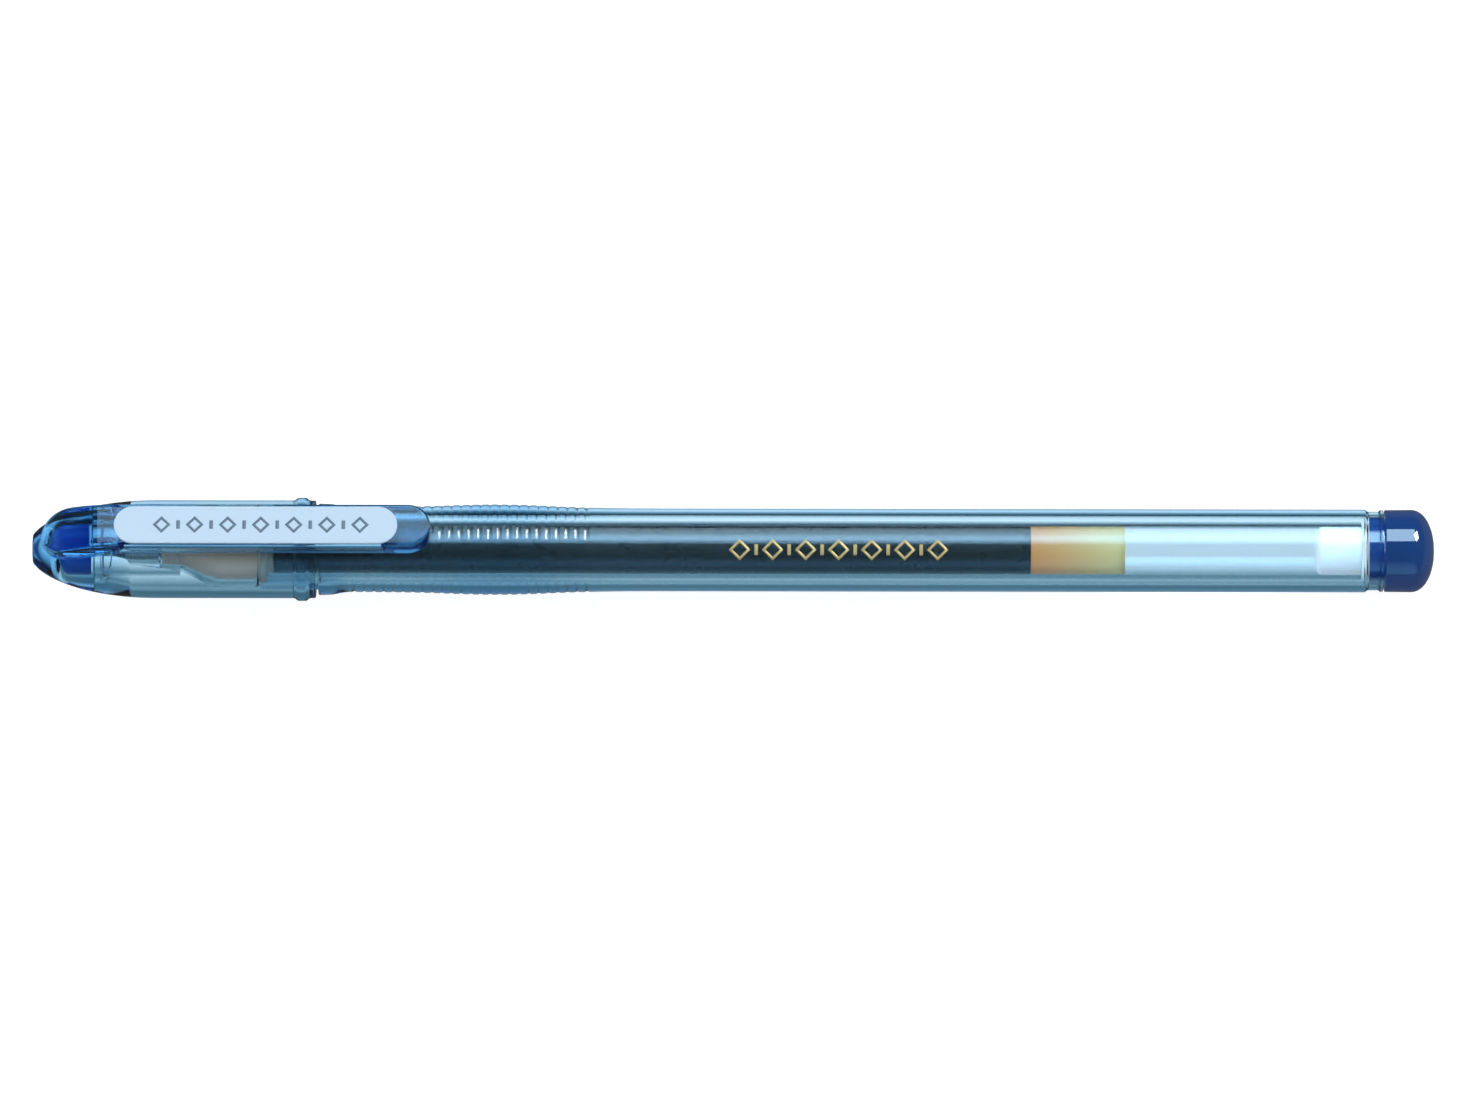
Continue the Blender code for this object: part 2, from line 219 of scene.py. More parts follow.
def mesh_object(name, points, faces, sharp_angle=40.0):
    """A closed, outward-facing mesh object from points in metres, its doubles merged."""
    mesh = bpy.data.meshes.new(name)
    mesh.from_pydata(points, [], faces)
    work = bmesh.new()
    work.from_mesh(mesh)
    bmesh.ops.remove_doubles(work, verts=work.verts, dist=MERGE_DISTANCE)
    bmesh.ops.dissolve_degenerate(work, edges=work.edges, dist=SHORTEST_EDGE)
    bmesh.ops.recalc_face_normals(work, faces=work.faces)
    work.to_mesh(mesh)
    work.free()
    mesh.shade_smooth()
    mesh.set_sharp_from_angle(angle=math.radians(sharp_angle))
    made = bpy.data.objects.new(name, mesh)
    bpy.context.scene.collection.objects.link(made)
    return made


def placed(stations, across, heights):
    """Points in metres from stations, distances across the pen and heights over its axis."""
    return np.stack(
        [NOSE_X + stations * MM, across * MM, AXIS_Z + heights * MM], axis=-1
    ).reshape(-1, 3)


def turned(name, outline, sides=160):
    """An outline of (station, radius) turned about the pen's axis.

    The point at angle a is radius sin a across and radius cos a up. An outline that starts
    off the axis is a ring, closed from its last point to its first."""
    outline = np.asarray(outline, float)
    angle = np.linspace(0, 2 * np.pi, sides, endpoint=False)
    station = np.repeat(outline[:, :1], sides, axis=1)
    across = outline[:, 1:] * np.sin(angle)
    height = outline[:, 1:] * np.cos(angle)
    faces = grid_faces(len(outline), sides, wrap_rows=bool(outline[0, 1] > 0))
    return mesh_object(name, placed(station, across, height), faces)


def ellipse_rise(station, foot, top, low, high):
    """Quarter ellipse that leaves low at the foot steeply and reaches high at the top."""
    share = np.clip((top - station) / (top - foot), 0, 1)
    return low + (high - low) * np.sqrt(1 - share**2)


def smooth_step(value, low, high):
    """A step from 0 at low to 1 at high, level at both: 3 share^2 - 2 share^3."""
    share = np.clip((value - low) / (high - low), 0, 1)
    return share * share * (3 - 2 * share)


# Cap

CROWN_CUT = 0.6  # length that the flat nose takes off the crown's ellipse
SEAT_WALL = 3.45  # radius of the hollow just behind the seal
SEAL_SHOULDER = 1.7  # length of the seal's rounded front
SEAL_FLAT = 1.0  # radius of the seal's flat front
SLEEVE_RADIUS = 2.9


def crown_radius(station):
    """Radius of the crown: part of an ellipse that meets the straight cap at its end."""
    crown = mm(sizes().crown_length)
    reach = np.clip((crown - station) / (crown + CROWN_CUT), 0, 1)
    return mm(sizes().cap_radius) * np.sqrt(1 - reach**2)


def cap_outline():
    """Closed outline of the cap: crown, bead and rim outside, then the hollow inside."""
    _, seal_rear, seal_radius = span("cap_seal")
    gap = 0.06
    radius, bore = mm(sizes().cap_radius), mm(sizes().cap_bore)
    bead = mm(sizes().bead_radius)
    crown = mm(sizes().crown_length)
    rear = span("cap_shell")[1]
    whole = crown + CROWN_CUT
    turn = np.linspace(math.acos(crown / whole), math.pi / 2, 60)
    round_front = np.stack([crown - whole * np.cos(turn), radius * np.sin(turn)], axis=1)
    nose_radius = float(round_front[0, 1])
    nose = eased([(0, 0), (0, nose_radius), tuple(round_front[4])], 0.25)[:-1]
    rim = eased(
        [
            (crown + 0.2, radius),
            (rear - 2.25, radius),
            (rear - 1.9, bead),
            (rear - 1.0, bead),
            (rear - 0.65, radius),
            (rear, radius - 0.02),
            (rear, bore + 0.1),
            (rear - 0.6, bore),
            (seal_rear + 4.0, bore - 0.1),
            (seal_rear + 1.25, SEAT_WALL),
            (seal_rear + 0.2, SEAT_WALL),
            (seal_rear + 0.2, seal_radius + gap),
        ],
        0.14,
    )
    seat = seal_outline(gap)[::-1]
    return np.vstack([nose, round_front[5:], rim, seat[1:]])


def seal_outline(grow):
    """Front of the seal from its middle to its widest, larger by grow: a flat, then a
    quarter ellipse."""
    front, _, radius = span("cap_seal")
    turn = np.linspace(0, math.pi / 2, 18)
    station = front + SEAL_SHOULDER - (SEAL_SHOULDER + grow) * np.cos(turn)
    height = SEAL_FLAT + (radius - SEAL_FLAT + grow) * np.sin(turn)
    return np.vstack([[(front - grow, 0.0)], np.stack([station, height], axis=1)])


def make_seal():
    """The seal: its rounded front, a straight side and a shallow dish in its back."""
    front, rear, radius = span("cap_seal")
    dish = rear - 0.5
    corners = [(front + 2.0, radius), (rear, radius), (rear, 1.9), (dish, 1.7), (dish, 0)]
    back = eased(corners, 0.2)
    return turned("seal", np.vstack([seal_outline(0.0), back]))


def make_sleeve():
    """The inner cap: a thin sleeve that tapers a little, with a flange at its front."""
    front, rear, flange = span("inner_cap")
    outline = [
        (front, SLEEVE_RADIUS),
        (front, flange),
        (front + 0.8, flange),
        (front + 0.9, SLEEVE_RADIUS),
        (rear, 2.82),
        (rear, 2.36),
        (front, 2.3),
        (front, SLEEVE_RADIUS),
    ]
    return turned("sleeve", eased(outline, 0.08)[:-1], 96)


# Clip

CLIP_FRONT = 0.9  # station where the root starts on the crown
CLIP_NOSE = 3.4  # length of the root's elliptic front
CLIP_FOOT = 2.5  # height of the top at its front
CLIP_LEVEL = 9.4  # station where the top is level
CLIP_FACE = 1.0  # thickness of the face over the channel
CLIP_EDGE = 0.5  # radius of the face's rounded edges
ROOT_END = (8.4, 9.8)  # stations over which the underside leaves the crown
CHANNEL_START = (9.3, 10.2)  # stations over which the channel opens
CHANNEL_END = (37.2, 37.5)  # stations over which it closes, behind the label


def round_ended(station, front, nose, rear, half):
    """Half width of a plan with an elliptic front and a round end: half times the root of
    1 less the squares of how far the station is into either."""
    ahead = np.clip((front + nose - station) / nose, 0, 1)
    behind = np.clip((station - rear + half) / half, 0, 1)
    return half * np.sqrt(np.clip(1 - ahead**2 - behind**2, 0, 1))


def both_sides(across, height):
    """Sections of one half, from the middle of the top to the middle of the underside,
    closed by the mirrored other half."""
    across = np.concatenate([across, -across[:, -2:0:-1]], axis=1)
    height = np.concatenate([height, height[:, -2:0:-1]], axis=1)
    return across, height


def clip_stations():
    """Stations along the clip, closer together where its plan is round."""
    rear = span("clip")[1]
    half = mm(sizes().clip_width) / 2
    turn = np.linspace(0, math.pi / 2, 30)
    nose = CLIP_FRONT + CLIP_NOSE * (1 - np.cos(turn))
    middle = np.linspace(CLIP_FRONT + CLIP_NOSE, rear - half, 150)
    end = rear - half + half * np.sin(turn)
    return np.concatenate([nose, middle[1:-1], end])


def make_clip():
    """The clip with its root, as a section carried along the pen.

    A section has a flat top with rounded edges, two flanges and a channel between them. Its
    top rises from the nose as a quarter ellipse. Its underside follows the crown as far as
    the root goes, and beyond that the channel opens to its full depth. The end behind the
    label is solid."""
    station = clip_stations()
    rear = span("clip")[1]
    wall = mm(sizes().clip_wall)
    full = mm(sizes().clip_width) / 2
    half = round_ended(station, CLIP_FRONT, CLIP_NOSE, rear, full)
    low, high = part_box("clip")
    top_height = (high.z - AXIS_Z) / MM
    bottom = (low.z - AXIS_Z) / MM
    top = ellipse_rise(station, CLIP_FRONT, CLIP_LEVEL, CLIP_FOOT, top_height)
    behind = np.clip((station - rear + full) / (full - wall), 0, 1)
    channel = (full - wall) * np.sqrt(np.clip(1 - behind**2, 0, 1)) + 0.01
    inner = np.minimum(half * 0.7, channel)
    open_share = smooth_step(station, *CHANNEL_START) * (1 - smooth_step(station, *CHANNEL_END))
    root_share = 1 - smooth_step(station, *ROOT_END)
    edge_radius = np.minimum(CLIP_EDGE, half)
    turn = np.linspace(0, math.pi / 2, 8)[1:]
    flat = (half - edge_radius)[:, None]
    across = [np.linspace(0, 1, 7)[None, :] * flat]
    height = [np.repeat(top[:, None], 7, axis=1)]
    across.append(flat + edge_radius[:, None] * np.sin(turn))
    deep = np.minimum(edge_radius, 0.5 * (top - 2.3))
    height.append((top - deep)[:, None] + deep[:, None] * np.cos(turn))
    edge = [half, half * 0.985, inner + 0.04, inner, inner, inner * 0.98, inner * 0.5, inner * 0]
    edge = np.stack(edge, axis=1)
    in_channel = np.array([0.0, 0.0, 0.0, 0.0, 1.0, 1.0, 1.0, 1.0])
    crown = np.sqrt(np.clip(crown_radius(station)[:, None] ** 2 - edge**2, 0, None)) + 0.02
    under = root_share[:, None] * crown + (1 - root_share)[:, None] * bottom
    ceiling = np.maximum(top_height - CLIP_FACE, bottom)
    under = under + open_share[:, None] * in_channel * (ceiling - bottom)
    under[:, 0] += 0.08 * (1 - root_share)
    across.append(edge)
    height.append(under)
    y, z = both_sides(np.concatenate(across, axis=1), np.concatenate(height, axis=1))
    x = np.repeat(station[:, None], y.shape[1], axis=1)
    faces = grid_faces(*y.shape, wrap_rows=False)
    return mesh_object("clip_arm", placed(x, y, z), faces, 50)


def make_label():
    """A thin panel with round ends: sections of a flat top with eased edges."""
    front, rear, half = span("clip_label")
    low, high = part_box("clip_label")
    turn = np.linspace(0, math.pi / 2, 24)
    station = np.concatenate(
        [
            front + half * (1 - np.cos(turn)),
            np.linspace(front + half, rear - half, 60)[1:-1],
            rear - half + half * np.sin(turn),
        ]
    )
    width = round_ended(station, front, half, rear, half)
    top = (high.z - AXIS_Z) / MM - 0.01
    bottom = (low.z - AXIS_Z) / MM + 0.05
    flat = np.array([0.0, 0.5, 0.9])
    inset = np.array([0.10, 0.05, 0.015, 0.0, 0.0])
    drop = np.array([0.0, 0.006, 0.03, 0.08, top - bottom])
    across = [flat[None, :] * np.maximum(width - inset[0], 0)[:, None]]
    across.append(np.maximum(width[:, None] - inset, 0))
    across.append(width[:, None] * np.array([0.5, 0.0]))
    height = np.array([top] * 3 + list(top - drop) + [bottom] * 2)
    z = np.repeat(height[None, :], len(station), axis=0)
    y, z = both_sides(np.concatenate(across, axis=1), z)
    x = np.repeat(station[:, None], y.shape[1], axis=1)
    faces = grid_faces(*y.shape, wrap_rows=False)
    return mesh_object("label_panel", placed(x, y, z), faces, 60)


# Barrel and end plug

NECK_RADIUS = 4.22  # at its front, under the cap
COLLAR_START = 30.4
COLLAR_RADIUS = 4.87
GRIP_SWELL = 0.4  # height of the grip's swell
GRIP_MIDDLE = 49.7
GRIP_SPREAD = 7.5  # distance over which the swell falls to 1/e
GRIP_END = 70.0
GRIP_RINGS = 25
RING_SAMPLES = 16
GROOVE_HALF = 0.30  # half a groove's width at the crest, in pitches
FLANK_WIDTH = 0.27  # width of its sloping flank, in pitches
FLANK_EASE = 0.18


def grip_radius(station):
    """Radius of the grip: a bell-shaped swell on the straight barrel, and a taper that makes
    it up to 0.12 mm thicker towards the collar."""
    swell = GRIP_SWELL * np.exp(-(((station - GRIP_MIDDLE) / GRIP_SPREAD) ** 2))
    front = 0.12 * np.clip((50 - station) / 12, 0, 1)
    return mm(sizes().barrel_radius) + swell + front


def barrel_outline():
    """Closed outline of the barrel: neck, collar, rings, straight run, groove and bore.

    A ring has a flat crest and its groove has straight flanks: the groove's depth falls with
    the distance from its middle line, eased where it meets the crest and the bottom."""
    front, rear, _ = span("barrel")
    bore = mm(sizes().barrel_bore)
    radius = mm(sizes().barrel_radius)
    start, pitch = mm(sizes().grip_start), mm(sizes().grip_pitch)
    end = start + GRIP_RINGS * pitch
    station = np.linspace(start, end, GRIP_RINGS * RING_SAMPLES + 1)
    off_groove = np.abs((station - start) / pitch % 1.0 - 0.5)
    flank = np.clip((GROOVE_HALF - off_groove) / FLANK_WIDTH, 0, 1)
    wave = flank + FLANK_EASE * flank * (1 - flank) * (2 * flank - 1)
    ringed = np.stack([station, grip_radius(station) - mm(sizes().grip_depth) * wave], axis=1)
    collar = eased(
        [
            (front, bore),
            (front, NECK_RADIUS),
            (front + 0.2, NECK_RADIUS + 0.03),
            (COLLAR_START, NECK_RADIUS + 0.06),
            (COLLAR_START, COLLAR_RADIUS),
            (COLLAR_START + 1.4, COLLAR_RADIUS - 0.05),
            (start - 0.6, grip_radius(start) + 0.05),
            (start - 0.1, grip_radius(start)),
        ],
        0.16,
    )
    fade = np.linspace(end + 0.4, GRIP_END, 14)
    swell = np.stack([fade, grip_radius(fade)], axis=1)
    groove = span("end_plug")[0]
    tail = eased(
        [
            (GRIP_END + 0.5, radius),
            (groove - 0.25, radius),
            (groove, radius - 0.22),
            (groove + 1.2, radius - 0.22),
            (groove + 1.3, radius - 0.06),
            (rear, radius - 0.06),
            (rear, bore),
            (front, bore),
        ],
        0.1,
    )
    return np.vstack([collar, ringed[1:], swell, tail[:-1]])


def end_plug_outline():
    """Outline of the end plug: hollow stem, head and dome. At a share s of the dome's length
    its radius is the head's times the root of 1 - s^2.3."""
    front, rear, radius = span("end_plug")
    stem = mm(sizes().barrel_bore) - 0.07
    head, dome = front + 1.8, front + 4.5
    step = np.linspace(0.02, 1, 40)
    round_end = np.stack([dome + (rear - dome) * step, radius * np.sqrt(1 - step**2.3)], axis=1)
    inner = eased([(dome, 0), (dome - 0.3, 1.9), (front, 2.2), (front, stem)], 0.3)[:-1]
    outer = eased(
        [(front, 2.2), (front, stem), (head, stem), (head, radius - 0.03), (dome, radius)], 0.12
    )
    return np.vstack([inner[:-2], outer[1:], round_end])


# Nose and refill

POINT_SEAT = 1.2  # radius of the tip holder's bore for the point
HOLDER_FRONT = 1.6  # radius of the tip holder at its front
HOLDER_RADIUS = 3.2
COLLAR_ENDS = (24.2, 24.9)  # stations of the tip holder's collar, just ahead of the tube
CONE_MOUTH = 1.22  # radius of the nose cone's bore at its front
CONE_BORE = 1.68  # radius of its bore round the tip holder's front


def nose_cone_outline():
    """Closed outline of the nose cone, its bore following the tip holder inside."""
    front, rear, radius = span("nose_cone")
    outline = [
        (front, CONE_MOUTH),
        (front, 1.42),
        (front + 0.2, 1.54),
        (15.6, 2.3),
        (17.5, 3.15),
        (18.8, radius - 0.12),
        (19.5, radius),
        (rear, radius),
        (rear, HOLDER_RADIUS + 0.08),
        (19.4, HOLDER_RADIUS + 0.08),
        (15.7, CONE_BORE),
        (13.6, CONE_BORE),
        (13.5, CONE_MOUTH),
        (front, CONE_MOUTH),
    ]
    return eased(outline, 0.5)[:-1]


def tip_holder_outline():
    """Closed outline of the tip holder: front, cone, wide part, collar, the stem inside the
    tube, and a stepped bore."""
    front, rear, collar = span("tip_holder")
    collar_front, collar_rear = COLLAR_ENDS
    tube = span("tail_plug")[2]
    outline = [
        (front, POINT_SEAT),
        (front, HOLDER_FRONT),
        (15.7, HOLDER_FRONT),
        (19.5, HOLDER_RADIUS),
        (collar_front, HOLDER_RADIUS),
        (collar_front, collar),
        (collar_rear, collar),
        (collar_rear, tube),
        (rear, tube),
        (rear, 0.6),
        (16.6, 0.6),
        (16.6, POINT_SEAT),
        (front, POINT_SEAT),
    ]
    return eased(outline, 0.12)[:-1]


def point_outline():
    """Closed outline of the metal point: its cone, shank, ink way and the ball's seat."""
    front, rear, radius = span("writing_point")
    seat = mm(sizes().ball_radius) + 0.02
    ink_way = 0.18
    outline = [
        (front, seat),
        (front, 0.41),
        (7.6, 0.58),
        (9.3, 1.05),
        (9.5, radius),
        (rear, radius),
        (rear, 0.55),
        (9.8, 0.55),
        (9.4, ink_way),
        (front + 0.38, ink_way),
        (front + 0.36, seat),
        (front, seat),
    ]
    return eased(outline, 0.06, 4)[:-1]


def ball_outline():
    """Half circle of the ball."""
    front, rear, radius = span("writing_ball")
    turn = np.linspace(0, math.pi, 33)
    middle = (front + rear) / 2
    return np.stack([middle - radius * np.cos(turn), radius * np.sin(turn)], axis=1)


def tube_outline():
    """Closed outline of the refill tube's wall."""
    front, rear, radius = span("ink_tube")
    bore = span("ink_column")[2] + 0.04
    return eased(
        [(front, bore), (front, radius), (rear, radius), (rear, bore), (front, bore)], 0.08
    )[:-1]


def filling_outline(front, rear, bulge_front, bulge_rear):
    """A filling of the tube, its ends bulged by an amount at the middle."""
    radius = span("ink_column")[2]
    share = np.linspace(0, 1, 20)
    ahead = np.stack([front - bulge_front * (1 - share**2), radius * share], axis=1)
    behind = np.stack([rear + bulge_rear * (1 - share**2), radius * share], axis=1)
    middle = [(front + 0.05, radius), (rear - 0.05, radius)]
    return np.vstack([ahead, middle, behind[::-1]])


def tail_outline():
    """Closed outline of the tail plug: a chamfered front and a vent through its middle."""
    front, rear, radius = span("tail_plug")
    vent = 0.5
    outline = [
        (front, vent),
        (front, 2.2),
        (front + 0.25, radius),
        (rear, radius),
        (rear, vent),
        (front, vent),
    ]
    return eased(outline, 0.1)[:-1]


# Printed marks

MARK_PITCH = 3.5  # distance from one diamond to the next
MARK_COUNT = 7
MARK_STROKE = 0.38
LABEL_ROW = (13.0, 1.9)  # front station and height of the border on the label
BARREL_ROW = (74.0, 2.3)  # and on the barrel
BARREL_ROW_ANGLE = 21  # degrees that the barrel's border is turned towards -Y


def bar(middle, low, high, width):
    """Corner grid of one upright bar as (along, across)."""
    across = np.linspace(low, high, 9)
    left = np.stack([np.full_like(across, middle - width / 2), across], axis=1)
    right = np.stack([np.full_like(across, middle + width / 2), across], axis=1)
    return np.stack([left, right], axis=1)


def printed(name, grids, place, thickness):
    """One object from grids of (along, across), each laid on the pen by place, then given a
    thickness inwards."""
    points, faces, start = [], [], 0
    for grid in grids:
        rows, columns = grid.shape[:2]
        index = start + np.arange(rows * columns).reshape(rows, columns)
        quads = [index[:-1, :-1], index[:-1, 1:], index[1:, 1:], index[1:, :-1]]
        faces.append(np.stack(quads, axis=-1).reshape(-1, 4))
        points.append(grid.reshape(-1, 2))
        start += rows * columns
    flat = np.vstack(points)
    made = mesh_object(name, place(flat[:, 0], flat[:, 1]), np.vstack(faces), 80)
    solid = made.modifiers.new("foil", "SOLIDIFY")
    solid.thickness = thickness * MM
    solid.offset = 0.0
    return made


def diamond(middle, across, reach, width):
    """Grid of a flat square ring stood on its corner, its last row repeating the first."""
    corners = np.array([[1, 0], [0, 1], [-1, 0], [0, -1], [1, 0]], float)
    steps = np.linspace(0, 4, 17)
    lower = np.minimum(steps.astype(int), 3)
    share = (steps - lower)[:, None]
    outline = corners[lower] * (1 - share) + corners[lower + 1] * share
    reaches = np.array([reach - width, reach])[None, :, None]
    return np.array([middle, across]) + reaches * outline[:, None, :]


def mark_row(front, height):
    """A plain repeating border: diamonds at an even pitch with a short bar between each two."""
    half = height / 2
    middles = [front + half + MARK_PITCH * step for step in range(MARK_COUNT)]
    grids = [diamond(middle, 0, half, MARK_STROKE) for middle in middles]
    for middle in middles[:-1]:
        grids.append(bar(middle + MARK_PITCH / 2, -half / 2, half / 2, MARK_STROKE))
    return grids


def on_barrel(along, across):
    """Lays (along, across) on the barrel, turned a little from straight up towards -Y."""
    radius = mm(sizes().barrel_radius) + 0.012
    angle = across / radius - math.radians(BARREL_ROW_ANGLE)
    return placed(along, radius * np.sin(angle), radius * np.cos(angle))


def on_label(along, across):
    """Lays (along, across) on the label's face."""
    top = (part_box("clip_label")[1].z - AXIS_Z) / MM - 0.006
    return placed(along, across, np.full_like(along, top))


# Materials


class Look:
    """A node material being built: its shader, its tree and short ways to add to them."""

    def __init__(self, name):
        self.material = bpy.data.materials.new(name)
        self.material.use_nodes = True
        self.tree = self.material.node_tree
        self.shader = self.tree.nodes["Principled BSDF"]
        self.output = self.tree.nodes["Material Output"]

    def node(self, kind, **values):
        """A new node with some of its own settings."""
        made = self.tree.nodes.new(kind)
        for key, value in values.items():
            setattr(made, key, value)
        return made

    def link(self, source, target):
        self.tree.links.new(source, target)

    def set(self, **values):
        """Uniform values on the shader's sockets, underscores standing for spaces."""
        for key, value in values.items():
            self.shader.inputs[key.replace("_", " ")].default_value = value

    def place(self, scale):
        """Object coordinates through a Mapping node that scales them."""
        coordinates = self.node("ShaderNodeTexCoord")
        mapping = self.node("ShaderNodeMapping")
        mapping.inputs["Scale"].default_value = scale
        self.link(coordinates.outputs["Object"], mapping.inputs["Vector"])
        return mapping.outputs["Vector"]

    def noise(self, scale, detail=3.0, stretch=(1, 1, 1)):
        made = self.node("ShaderNodeTexNoise")
        made.inputs["Scale"].default_value = scale
        made.inputs["Detail"].default_value = detail
        self.link(self.place(stretch), made.inputs["Vector"])
        return made.outputs["Fac"]

    def ranged(self, value, low, high):
        made = self.node("ShaderNodeMapRange")
        made.inputs["To Min"].default_value = low
        made.inputs["To Max"].default_value = high
        self.link(value, made.inputs["Value"])
        return made.outputs["Result"]

    def bump(self, height, strength, distance):
        made = self.node("ShaderNodeBump")
        made.inputs["Strength"].default_value = strength
        made.inputs["Distance"].default_value = distance
        self.link(height, made.inputs["Height"])
        self.link(made.outputs["Normal"], self.shader.inputs["Normal"])

    def rough(self, low, high, scale):
        """Roughness that varies from low to high with a noise."""
        self.link(self.ranged(self.noise(scale), low, high), self.shader.inputs["Roughness"])


def rgba(value):
    """A colour with its alpha."""
    return (*value, 1.0)


def clear_plastic(name, lets_through, density, rough=(0.02, 0.05), wave=0.03):
    """Clear moulded plastic. It refracts, lets lamps through to what is inside, deepens in
    colour with its thickness, and has the faint flow waves of moulding."""
    look = Look(name)
    look.set(Transmission_Weight=1.0, IOR=1.49, Base_Color=(1, 1, 1, 1))
    look.rough(rough[0], rough[1], 900)
    look.bump(look.noise(160, 2.0, (0.35, 1, 1)), wave, 0.0002)
    path = look.node("ShaderNodeLightPath")
    open_way = look.node("ShaderNodeBsdfTransparent")
    mix = look.node("ShaderNodeMixShader")
    look.link(path.outputs["Is Shadow Ray"], mix.inputs["Fac"])
    look.link(look.shader.outputs["BSDF"], mix.inputs[1])
    look.link(open_way.outputs["BSDF"], mix.inputs[2])
    look.link(mix.outputs["Shader"], look.output.inputs["Surface"])
    tint = look.node("ShaderNodeVolumeAbsorption")
    tint.inputs["Color"].default_value = rgba(lets_through)
    tint.inputs["Density"].default_value = density
    look.link(tint.outputs["Volume"], look.output.inputs["Volume"])
    return look.material


def solid_plastic(name, base, rough=(0.25, 0.4), grain=700, depth=0.00003, **more):
    """Moulded plastic or print of one colour, with a fine grain."""
    look = Look(name)
    look.set(Base_Color=rgba(base), IOR=1.49, **more)
    look.rough(rough[0], rough[1], grain)
    look.bump(look.noise(grain), 0.25, depth)
    return look.material


def deep_plastic(name):
    """Deep blue translucent plastic: mostly its own colour, with some light through it."""
    return solid_plastic(
        name,
        colours().deep_blue,
        (0.05, 0.11),
        Transmission_Weight=0.25,
        Coat_Weight=1.0,
        Coat_IOR=2.0,
    )


def ink_look():
    """Gel ink: near black with a blue cast, mottled a little where it wets the tube."""
    look = Look("ink")
    dark = colours().ink
    mottle = look.node("ShaderNodeMixRGB", blend_type="MIX")
    mottle.inputs["Color1"].default_value = rgba(dark)
    mottle.inputs["Color2"].default_value = rgba([value * 1.7 for value in dark])
    look.link(look.noise(450, 4.0, (0.25, 1, 1)), mottle.inputs["Fac"])
    look.link(mottle.outputs["Color"], look.shader.inputs["Base Color"])
    look.rough(0.22, 0.35, 500)
    return look.material


def follower_look():
    """Grease that is brown-orange at the ink and olive-yellow at its free end."""
    look = Look("follower_grease")
    front, rear, _ = span("ink_follower")
    place = look.node("ShaderNodeTexCoord")
    split = look.node("ShaderNodeSeparateXYZ")
    look.link(place.outputs["Object"], split.inputs["Vector"])
    along = look.node("ShaderNodeMapRange")
    along.inputs["From Min"].default_value = NOSE_X + front * MM
    along.inputs["From Max"].default_value = NOSE_X + rear * MM
    look.link(split.outputs["X"], along.inputs["Value"])
    ramp = look.node("ShaderNodeValToRGB")
    ramp.color_ramp.elements[0].color = rgba(colours().follower_front)
    ramp.color_ramp.elements[1].color = rgba(colours().follower_rear)
    look.link(along.outputs["Result"], ramp.inputs["Fac"])
    look.link(ramp.outputs["Color"], look.shader.inputs["Base Color"])
    look.set(Transmission_Weight=0.55, IOR=1.44)
    look.rough(0.25, 0.4, 600)
    return look.material


def metal(name, base, rough, rings):
    """Turned metal with fine lathe rings across its axis."""
    look = Look(name)
    look.set(Base_Color=rgba(base), Metallic=1.0)
    roughness = look.ranged(look.noise(1, 2.0, (rings, 1, 1)), *rough)
    look.link(roughness, look.shader.inputs["Roughness"])
    look.bump(look.noise(1, 2.0, (rings, 1, 1)), 0.2, 0.00001)
    return look.material


def finish_piece(piece, look, body, slot, *nodes):
    """Gives a piece its material, the body it moves with and the nodes it stands for."""
    piece.data.materials.append(look)
    if body is not None:
        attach(piece, body)
    if nodes:
        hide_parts(*nodes)


# Operators


class GELPEN_OT_cap(Operator):
    """Cap, its deep blue seal and the sleeve behind it"""

    bl_idname = "gelpen.cap"
    bl_label = "Build cap"

    def execute(self, context):
        plastic = clear_plastic("cap_plastic", colours().cap, density=480)
        clear = clear_plastic("sleeve_plastic", (0.7, 0.85, 0.92), density=120)
        # The seal's colour is a lit copy of the deep blue, 1.6 times brighter: painted light on the
        # seal inside the cap.
        bright = [value * 1.6 for value in colours().deep_blue]
        deep = solid_plastic("seal_plastic", bright, (0.4, 0.5), Transmission_Weight=0.2)
        deep.node_tree.nodes["Principled BSDF"].inputs["Specular IOR Level"].default_value = 0.15
        finish_piece(turned("cap", cap_outline()), plastic, "cap", "cap_plastic", "cap_shell")
        finish_piece(make_seal(), deep, "cap", "deep_blue_plastic", "cap_seal")
        finish_piece(make_sleeve(), clear, "cap", "clear_plastic", "inner_cap")
        return {"FINISHED"}


class GELPEN_OT_clip(Operator):
    """Clip with its root, and the white label let into it"""

    bl_idname = "gelpen.clip"
    bl_label = "Build clip"

    def execute(self, context):
        plastic = clear_plastic("clip_plastic", colours().cap, density=700)
        clip = make_clip()
        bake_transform(clip)
        finish_piece(clip, plastic, None, "clip_plastic", "clip")
        white = solid_plastic("label_white", colours().label, (0.28, 0.42))
        finish_piece(make_label(), white, "clip_arm", "label", "clip_label")
        grey = solid_plastic("label_print", colours().label_print, (0.4, 0.55))
        marks = printed("label_marks", mark_row(*LABEL_ROW), on_label, 0.012)
        finish_piece(marks, grey, "clip_arm", "label")
        return {"FINISHED"}


class GELPEN_OT_barrel(Operator):
    """Clear ringed barrel and its gold marks"""

    bl_idname = "gelpen.barrel"
    bl_label = "Build barrel"

    def execute(self, context):
        plastic = clear_plastic("barrel_plastic", colours().barrel, density=500)
        barrel = turned("barrel_tube", barrel_outline(), 144)
        finish_piece(barrel, plastic, "pen", "barrel_plastic", "barrel")
        gold = solid_plastic("gold_foil", colours().gold, (0.3, 0.5), Metallic=0.35)
        marks = printed("barrel_marks", mark_row(*BARREL_ROW), on_barrel, 0.016)
        finish_piece(marks, gold, "pen", "barrel_plastic")
        return {"FINISHED"}


